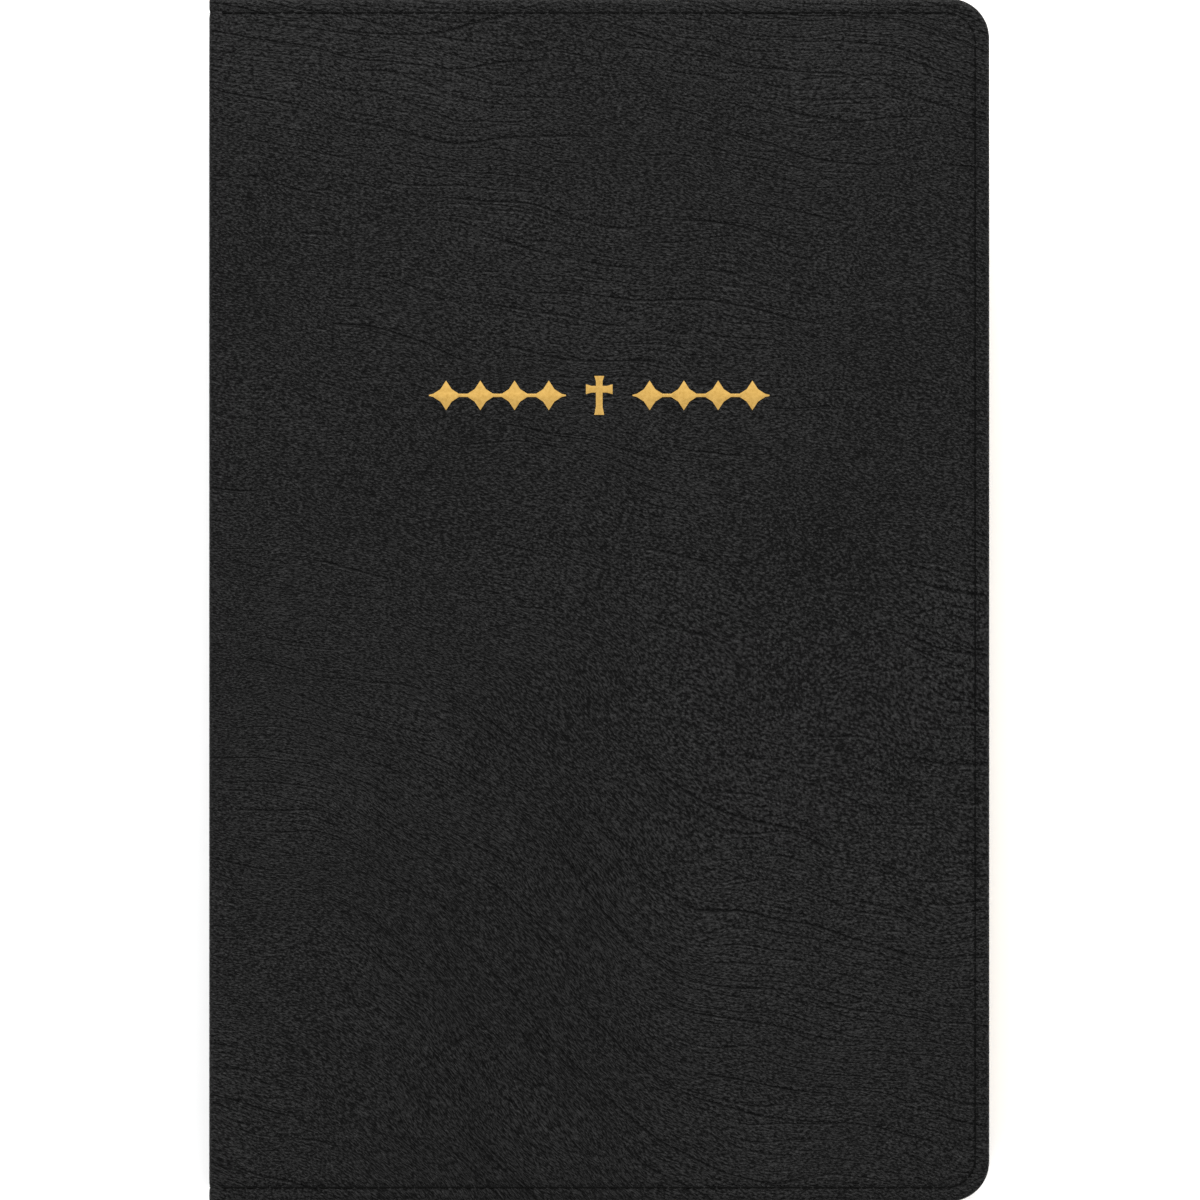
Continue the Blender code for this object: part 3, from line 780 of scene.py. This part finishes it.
FLY = 0.12 * MM
FLY_GAP = 0.02 * MM
for side, body in (("front", "front_flyleaf_turn"), ("back", "text_rear")):
    low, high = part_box(side + "_flyleaf")
    middle = (low[2] + high[2]) / 2
    leaf = leaf_slab(
        side + "_flyleaf_sheet", [low[0]], high[0], high[1], PAGE_CORNER, PAGE_INSETS,
        lambda x, y, inset: (middle - FLY / 2, middle + FLY / 2), [endpaper, page_gilt],
        lambda kind: 1 if kind == "edge" else 0, SECTION_STEP,
    )
    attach(leaf, body)
    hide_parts(side + "_flyleaf")

    # The same sheet runs on from its fold to the pastedown, across the cover's joint.
    paste_z = TOP - COVER - PASTE_GAP - PASTE / 2
    paste_place = (PASTE_X, HALF_Y - PASTE_INSET, paste_z if side == "front" else TOP - paste_z)
    fold_place = (low[0] - FLY_GAP, high[1], middle)
    shape = bmesh.new()
    rings = []
    for share in spread(0.0, 1.0, 0.1):
        ease = share * share * (3 - 2 * share)
        x, half, z = (
            fold + (paste - fold) * part
            for fold, paste, part in zip(fold_place, paste_place, (share, share, ease))
        )
        corners = ((-half, -FLY / 2), (half, -FLY / 2), (half, FLY / 2), (-half, FLY / 2))
        rings.append([shape.verts.new((x, y, z + rise)) for y, rise in corners])
    for first, second in zip(rings, rings[1:]):
        for index in range(4):
            following = (index + 1) % 4
            shape.faces.new((first[index], first[following], second[following], second[index]))
    shape.faces.new(rings[0])
    shape.faces.new(rings[-1])
    bmesh.ops.recalc_face_normals(shape, faces=shape.faces)
    strip = finish_mesh(side + "_endpaper_joint", shape, [endpaper])
    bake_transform(strip)

# ---------------------------------------------------------------- Edge stitching
# Black bonded polyester, sewn by machine through the leather and its turn-in. Each
# stitch is a short raised dash that dips into its two needle holes.

STITCH_PITCH = 2.35 * MM
STITCH_LENGTH = 2.3 * MM
THREAD = 0.38 * MM
STITCH_CORNER = 5.9 * MM
CORNER_STEPS = 14

stitch_thread, tree, shader = new_material("bonded polyester thread", "#020202", 0.9)
shader.inputs["Specular IOR Level"].default_value = 0.1
twist_room = add_node(
    tree, "ShaderNodeMapping", None, {"Vector": rest_millimetres(tree), "Rotation": (0, 0, math.radians(40))}
)
twist = add_node(
    tree, "ShaderNodeTexWave", None, {"Vector": twist_room.outputs[0], "Scale": 1.1, "Distortion": 0.4}
)
strand = add_node(
    tree, "ShaderNodeBump", None, {"Height": twist.outputs[0], "Strength": 0.6, "Distance": 0.03 * MM}
)
tree.links.new(strand.outputs[0], shader.inputs["Normal"])


def stitch_tree():
    """Geometry Nodes that lay stitches along a line at an even pitch."""
    tree = bpy.data.node_groups.new("machine stitches", "GeometryNodeTree")
    for name, kind in (
        ("Line", "NodeSocketGeometry"), ("Pitch", "NodeSocketFloat"), ("Stitch Length", "NodeSocketFloat"),
        ("Thread", "NodeSocketFloat"), ("Material", "NodeSocketMaterial"),
    ):
        tree.interface.new_socket(name, in_out="INPUT", socket_type=kind)
    tree.interface.new_socket("Stitches", in_out="OUTPUT", socket_type="NodeSocketGeometry")
    given = add_node(tree, "NodeGroupInput").outputs
    even = add_node(
        tree, "GeometryNodeResampleCurve", {"mode": "LENGTH"},
        {"Curve": given["Line"], "Length": given["Pitch"]},
    )
    ball = add_node(tree, "GeometryNodeMeshUVSphere", None, {"Segments": 8, "Rings": 6, "Radius": 0.5})
    size = add_node(
        tree, "ShaderNodeCombineXYZ", None,
        {"X": given["Thread"], "Y": given["Thread"], "Z": given["Stitch Length"]},
    )
    dash = add_node(
        tree, "GeometryNodeTransform", None, {"Geometry": ball.outputs["Mesh"], "Scale": size.outputs[0]}
    )
    way = add_node(tree, "GeometryNodeInputTangent")
    turn = add_node(tree, "FunctionNodeAlignRotationToVector", {"axis": "Z"}, {"Vector": way.outputs[0]})
    laid = add_node(
        tree, "GeometryNodeInstanceOnPoints", None,
        {"Points": even.outputs[0], "Instance": dash.outputs[0], "Rotation": turn.outputs[0]},
    )
    real = add_node(tree, "GeometryNodeRealizeInstances", None, {"Geometry": laid.outputs[0]})
    smooth = add_node(tree, "GeometryNodeSetShadeSmooth", None, {"Geometry": real.outputs[0]})
    done = add_node(
        tree, "GeometryNodeSetMaterial", None, {"Geometry": smooth.outputs[0], "Material": given["Material"]}
    )
    out = add_node(tree, "NodeGroupOutput")
    tree.links.new(done.outputs[0], out.inputs[0])
    return tree


stitches = stitch_tree()


def grown_along(name, points, tree, inputs):
    """The plain mesh that a Geometry Nodes tree grows along a line of points."""
    curve = bpy.data.curves.new(name, "CURVE")
    curve.dimensions = "3D"
    line = curve.splines.new("POLY")
    line.points.add(len(points) - 1)
    for point, place in zip(line.points, points):
        point.co = (*place, 1.0)
    guide = bpy.data.objects.new(name + "_guide", curve)
    bpy.context.scene.collection.objects.link(guide)
    modifier = guide.modifiers.new("grown", "NODES")
    modifier.node_group = tree
    sockets = {item.name: item.identifier for item in tree.interface.items_tree if item.in_out == "INPUT"}
    for label, value in inputs.items():
        modifier[sockets[label]] = value
    evaluated = guide.evaluated_get(bpy.context.evaluated_depsgraph_get())
    mesh = bpy.data.meshes.new_from_object(evaluated)
    bpy.data.objects.remove(guide)
    mesh.name = name
    made = bpy.data.objects.new(name, mesh)
    bpy.context.scene.collection.objects.link(made)
    store_rest_place(mesh)
    return made


def sewn(name, points):
    """A row of machine stitches along a line."""
    settings = {
        "Pitch": STITCH_PITCH, "Stitch Length": STITCH_LENGTH, "Thread": THREAD, "Material": stitch_thread,
    }
    piece = grown_along(name, points, stitches, settings)
    return piece


CLEAR_OF_JOINT = EDGE + STITCH_PITCH / 2 + 0.15 * MM
SUNK = 0.14 * MM
line_y = HALF_Y - STITCH_INSET
line_x = FORE_X - STITCH_INSET
centre_x, centre_y = line_x - STITCH_CORNER, line_y - STITCH_CORNER
round_corners = []
for sign in (-1, 1):
    for step in range(CORNER_STEPS + 1):
        angle = math.radians(90 * step / CORNER_STEPS)
        reach = math.sin(angle) if sign < 0 else math.cos(angle)
        rise = math.cos(angle) if sign < 0 else math.sin(angle)
        round_corners.append((centre_x + STITCH_CORNER * reach, sign * (centre_y + STITCH_CORNER * rise)))
row_start = HINGE_X + CLEAR_OF_JOINT
edge_line = [(row_start, -line_y), *round_corners, (row_start, line_y)]
for side, z in (("front", TOP - SUNK), ("back", SUNK)):
    piece = sewn(side + "_edge_stitches", [(x, y, z) for x, y in edge_line])
    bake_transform(piece)
    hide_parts(*[side + "_stitching_" + end for end in ("head", "tail", "fore_edge")])
for end, y in (("head", line_y), ("tail", -line_y)):
    low_z, high_z = BACK_JOINT.z + CLEAR_OF_JOINT, FRONT_JOINT.z - CLEAR_OF_JOINT
    piece = sewn("spine_edge_stitches_" + end, [(SPINE_X + SUNK, y, low_z), (SPINE_X + SUNK, y, high_z)])
    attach(piece, "spine")
    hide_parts("spine_stitching_" + end)

# ---------------------------------------------------------------- Gilt ornament
# Gold foil pressed into the leather with a hot brass die: a small Latin cross between
# two rules of lozenges. The heat leaves the foil smooth and level with the grain.

gilt_foil, tree, shader = new_material("hot-stamped gold foil", "#b99043", 0.4, 0.35)
place = rest_millimetres(tree)
worn = add_node(
    tree, "ShaderNodeTexNoise", None, {"Vector": place, "Scale": 1.6, "Detail": 4.0, "Roughness": 0.65}
).outputs[0]
ramp = add_node(tree, "ShaderNodeValToRGB", None, {"Fac": worn})
ramp.color_ramp.elements[0].position = 0.25
ramp.color_ramp.elements[1].position = 0.6
ramp.color_ramp.elements[0].color = srgb("#a98339")
ramp.color_ramp.elements[1].color = srgb("#be984e")
tree.links.new(ramp.outputs[0], shader.inputs["Base Color"])
pressed = add_node(tree, "ShaderNodeBump", None, {"Height": worn, "Strength": 0.6, "Distance": 0.04 * MM})
tree.links.new(pressed.outputs[0], shader.inputs["Normal"])

FOIL = 0.06 * MM
FOIL_RISE = 0.02 * MM
FOIL_BEVEL = 0.02 * MM
cross_low, cross_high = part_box("ornament_cross")
ORNAMENT_Y = (cross_low[1] + cross_high[1]) / 2
ORNAMENT_HIGH = cross_high[1] - ORNAMENT_Y
CROSS_HALF = cross_high[0]
CROSS_BAR = 0.65 * MM
CROSS_RISE = 1.2 * MM
FLARE = 0.32 * MM
FLARE_FOOT = 1.6 * MM
FLARE_ARM = 1.1 * MM
FLARE_TOP = 1.0 * MM
wing_low, wing_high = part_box("ornament_wing_fore_side")
LOZENGE_HALF = (wing_high[1] - wing_low[1]) / 2
LOZENGES = 4
RULE_HALF = 0.32 * MM
RULE_TIP = 0.12 * MM


def cross_shape():
    """A Latin cross whose four ends flare a little, about the ornament's centre."""
    bar, flare = CROSS_BAR, CROSS_BAR + FLARE
    top, foot = ORNAMENT_HIGH, -ORNAMENT_HIGH
    low, high = CROSS_RISE - bar, CROSS_RISE + bar
    right = [(flare, foot), (bar, foot + FLARE_FOOT), (bar, low), (CROSS_HALF - FLARE_ARM, low)]
    right += [(CROSS_HALF, low - FLARE), (CROSS_HALF, high + FLARE), (CROSS_HALF - FLARE_ARM, high)]
    right += [(bar, high), (bar, top - FLARE_TOP), (flare, top)]
    return [*right, *[(-x, y) for x, y in reversed(right)]]


def wing_shape(sign):
    """Lozenges with hollow sides, threaded on a rule that narrows to a point."""
    span = wing_high[0] - wing_low[0]
    step = span / LOZENGES
    waist, hollow_x, hollow_y = (LOZENGE_HALF * share for share in (0.86, 0.38, 0.42))
    upper = [(wing_low[0], RULE_TIP)]
    for index in range(LOZENGES):
        middle = wing_low[0] + step * (index + 0.5)
        upper += [(middle - waist, RULE_HALF), (middle - hollow_x, hollow_y), (middle, LOZENGE_HALF)]
        upper += [(middle + hollow_x, hollow_y), (middle + waist, RULE_HALF)]
    upper.append((wing_high[0], RULE_TIP))
    return [(sign * x, y) for x, y in [*upper, *[(x, -y) for x, y in reversed(upper)]]]


def foil_piece(name, outline, node):
    """A thin plate of foil with softened edges, flush with the leather."""
    shape = bmesh.new()
    corners = [shape.verts.new((x, y + ORNAMENT_Y, TOP + FOIL_RISE - FOIL)) for x, y in outline]
    base = shape.faces.new(corners)
    lifted = bmesh.ops.extrude_face_region(shape, geom=[base])
    top = [item for item in lifted["geom"] if isinstance(item, bmesh.types.BMVert)]
    bmesh.ops.translate(shape, verts=top, vec=(0, 0, FOIL))
    bmesh.ops.recalc_face_normals(shape, faces=shape.faces)
    piece = finish_mesh(name, shape, [gilt_foil])
    bevel = piece.modifiers.new("soft edge", "BEVEL")
    bevel.width = FOIL_BEVEL
    bevel.segments = 2
    bevel.limit_method = "ANGLE"
    apply_modifiers(piece)
    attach(piece, "front_cover")
    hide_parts(node)
    return piece


foil_piece("gilt_cross", cross_shape(), "ornament_cross")
foil_piece("gilt_wing_fore_side", wing_shape(1), "ornament_wing_fore_side")
foil_piece("gilt_wing_spine_side", wing_shape(-1), "ornament_wing_spine_side")

# ---------------------------------------------------------------- Headbands
# A cord wound closely with gold and black silk, glued across the head and the tail of
# the folds. The windings are so fine that they read as narrow stripes.

silk, tree, shader = new_material("wound silk, gold and black", "#b8964e", 0.55)
shader.inputs["Sheen Weight"].default_value = 0.3
WINDING = 0.42 * MM
STRIPE_WINDINGS = 3
silk_place = add_node(tree, "ShaderNodeSeparateXYZ", None, {"Vector": rest_millimetres(tree)})
silk_z = silk_place.outputs["Z"]
stripe_width = WINDING * PER_MM * STRIPE_WINDINGS
turns = add_node(tree, "ShaderNodeMath", {"operation": "DIVIDE"}, {0: silk_z, 1: stripe_width}).outputs[0]
turn_number = add_node(tree, "ShaderNodeMath", {"operation": "FLOOR"}, {0: turns}).outputs[0]
odd = add_node(tree, "ShaderNodeMath", {"operation": "MODULO"}, {0: turn_number, 1: 2.0}).outputs[0]
stripe = add_node(
    tree, "ShaderNodeMix", {"data_type": "RGBA"}, {0: odd, 6: srgb("#c6a255"), 7: srgb("#23211e")}
)
tree.links.new(stripe.outputs[2], shader.inputs["Base Color"])


def winding_tree():
    """Geometry Nodes that wind rings of silk side by side along a line."""
    tree = bpy.data.node_groups.new("silk windings", "GeometryNodeTree")
    for name, kind in (
        ("Line", "NodeSocketGeometry"), ("Pitch", "NodeSocketFloat"), ("Core", "NodeSocketFloat"),
        ("Silk", "NodeSocketFloat"), ("Material", "NodeSocketMaterial"),
    ):
        tree.interface.new_socket(name, in_out="INPUT", socket_type=kind)
    tree.interface.new_socket("Windings", in_out="OUTPUT", socket_type="NodeSocketGeometry")
    given = add_node(tree, "NodeGroupInput").outputs
    even = add_node(
        tree, "GeometryNodeResampleCurve", {"mode": "LENGTH"},
        {"Curve": given["Line"], "Length": given["Pitch"]},
    )
    ring = add_node(
        tree, "GeometryNodeCurvePrimitiveCircle", None, {"Radius": given["Core"], "Resolution": 16}
    )
    thread = add_node(
        tree, "GeometryNodeCurvePrimitiveCircle", None, {"Radius": given["Silk"], "Resolution": 6}
    )
    turn = add_node(
        tree, "GeometryNodeCurveToMesh", None, {"Curve": ring.outputs[0], "Profile Curve": thread.outputs[0]}
    )
    way = add_node(tree, "GeometryNodeInputTangent")
    turned = add_node(tree, "FunctionNodeAlignRotationToVector", {"axis": "Z"}, {"Vector": way.outputs[0]})
    laid = add_node(
        tree, "GeometryNodeInstanceOnPoints", None,
        {"Points": even.outputs[0], "Instance": turn.outputs[0], "Rotation": turned.outputs[0]},
    )
    core = add_node(
        tree, "GeometryNodeCurveToMesh", None,
        {"Curve": given["Line"], "Profile Curve": ring.outputs[0], "Fill Caps": True},
    )
    both = add_node(tree, "GeometryNodeJoinGeometry")
    tree.links.new(laid.outputs[0], both.inputs[0])
    tree.links.new(core.outputs[0], both.inputs[0])
    real = add_node(tree, "GeometryNodeRealizeInstances", None, {"Geometry": both.outputs[0]})
    smooth = add_node(tree, "GeometryNodeSetShadeSmooth", None, {"Geometry": real.outputs[0]})
    done = add_node(
        tree, "GeometryNodeSetMaterial", None, {"Geometry": smooth.outputs[0], "Material": given["Material"]}
    )
    out = add_node(tree, "NodeGroupOutput")
    tree.links.new(done.outputs[0], out.inputs[0])
    return tree


windings = winding_tree()
for end, sign in (("head", 1), ("tail", -1)):
    low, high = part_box("headband_" + end)
    core = (high[1] - low[1]) / 2 - WINDING / 2
    y = (low[1] + high[1]) / 2
    x = low[0] + core + WINDING / 2
    points = [(x, y, z) for z in spread(low[2] + WINDING, high[2] - WINDING, 1.5 * MM)]
    settings = {"Pitch": WINDING, "Core": core, "Silk": WINDING / 2, "Material": silk}
    piece = grown_along("headband_silk_" + end, points, windings, settings)
    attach(piece, "spine")
    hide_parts("headband_" + end)

# ---------------------------------------------------------------- Spine linings
# Under the leather the folds carry open cloth, brown paper and a card stiffener, and
# linen thread crosses them in rows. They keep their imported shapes.

WAVE_PERIOD = 0.31


def own_millimetres(tree):
    """A rigid piece's own coordinates, in millimetres."""
    place = add_node(tree, "ShaderNodeTexCoord")
    scaled = add_node(
        tree, "ShaderNodeVectorMath", {"operation": "SCALE"}, {0: place.outputs["Object"], "Scale": PER_MM}
    )
    return scaled.outputs["Vector"]


def woven(name, colour, shade, pitch_mm, roughness):
    """An open plain weave: two sets of yarns at a right angle."""
    made, tree, shader = new_material(name, colour, roughness)
    place = own_millimetres(tree)
    height = None
    for direction in ("Y", "Z"):
        yarns = add_node(
            tree, "ShaderNodeTexWave", {"bands_direction": direction},
            {"Vector": place, "Scale": WAVE_PERIOD / pitch_mm, "Distortion": 0.6, "Detail": 1.0},
        ).outputs[1]
        if height is not None:
            yarns = add_node(tree, "ShaderNodeMath", {"operation": "MAXIMUM"}, {0: height, 1: yarns}).outputs[0]
        height = yarns
    ramp = add_node(tree, "ShaderNodeValToRGB", None, {"Fac": height})
    ramp.color_ramp.elements[0].color = srgb(shade)
    ramp.color_ramp.elements[1].color = srgb(colour)
    tree.links.new(ramp.outputs[0], shader.inputs["Base Color"])
    raised = add_node(tree, "ShaderNodeBump", None, {"Height": height, "Strength": 0.8, "Distance": 0.1 * MM})
    tree.links.new(raised.outputs[0], shader.inputs["Normal"])
    return made


linings = {
    "spine_mull": woven("starched mull", "#c9c6bb", "#989486", 1.1, 0.95),
    "spine_lining": woven("brown lining paper", "#b59a76", "#a88d69", 0.5, 0.9),
    "spine_inlay": woven("spine card", "#9a958c", "#8a857c", 0.7, 0.9),
}
linen = woven("linen sewing thread", "#c6beaa", "#a2977c", 0.35, 0.85)
for name in frame["nodes"]:
    if name.startswith("sewing_thread_"):
        linings[name] = linen
for name, material in linings.items():
    node = frame["nodes"][name]
    node.data.materials.clear()
    node.data.materials.append(material)

# ---------------------------------------------------------------- Studio
# A pale floor, three broad soft lights and an even sky. The camera looks straight down
# on the cover from far away, so that the cover fills the picture from head to tail.

CAMERA_HEIGHT = 2.0
SENSOR = 36.0
FRAME_FILL = 1.003
AIM_X = 0.15 * MM
SHEET_SIZE = 6.0

white_floor, tree, shader = new_material("white studio paper", "#ffffff", 0.9)
floor_mesh = bpy.data.meshes.new("floor")
half = SHEET_SIZE / 2
floor_mesh.from_pydata(
    [(-half, -half, 0), (half, -half, 0), (half, half, 0), (-half, half, 0)], [], [(0, 1, 2, 3)]
)
floor_mesh.materials.append(white_floor)
floor = bpy.data.objects.new("floor", floor_mesh)
bpy.context.scene.collection.objects.link(floor)


def soft_light(name, place, size, power):
    """A square soft box that faces the middle of the book."""
    light = bpy.data.lights.new(name, "AREA")
    light.shape = "SQUARE"
    light.size = size
    light.energy = power
    made = bpy.data.objects.new(name, light)
    made.location = place
    made.rotation_euler = (-Vector(place)).to_track_quat("-Z", "Y").to_euler()
    bpy.context.scene.collection.objects.link(made)


soft_light("key", (-0.05, 1.65, 0.8), 0.7, 54.0)
soft_light("fill_right", (1.3, -0.4, 1.2), 1.2, 15.0)
soft_light("fill_left", (-1.3, -0.4, 1.2), 1.2, 15.0)
world = bpy.data.worlds.new("sky")
world.use_nodes = True
world.node_tree.nodes["Background"].inputs["Color"].default_value = srgb("#ffffff")
world.node_tree.nodes["Background"].inputs["Strength"].default_value = 0.55
bpy.context.scene.world = world
bpy.context.scene.view_settings.view_transform = "Standard"

camera_data = bpy.data.cameras.new("camera")
camera_data.sensor_width = SENSOR
camera_data.lens = FRAME_FILL * SENSOR * CAMERA_HEIGHT / (2 * HALF_Y)
camera_data.clip_end = 20.0
camera = bpy.data.objects.new("camera", camera_data)
camera.location = (AIM_X, 0, TOP + CAMERA_HEIGHT)
bpy.context.scene.collection.objects.link(camera)
bpy.context.scene.camera = camera
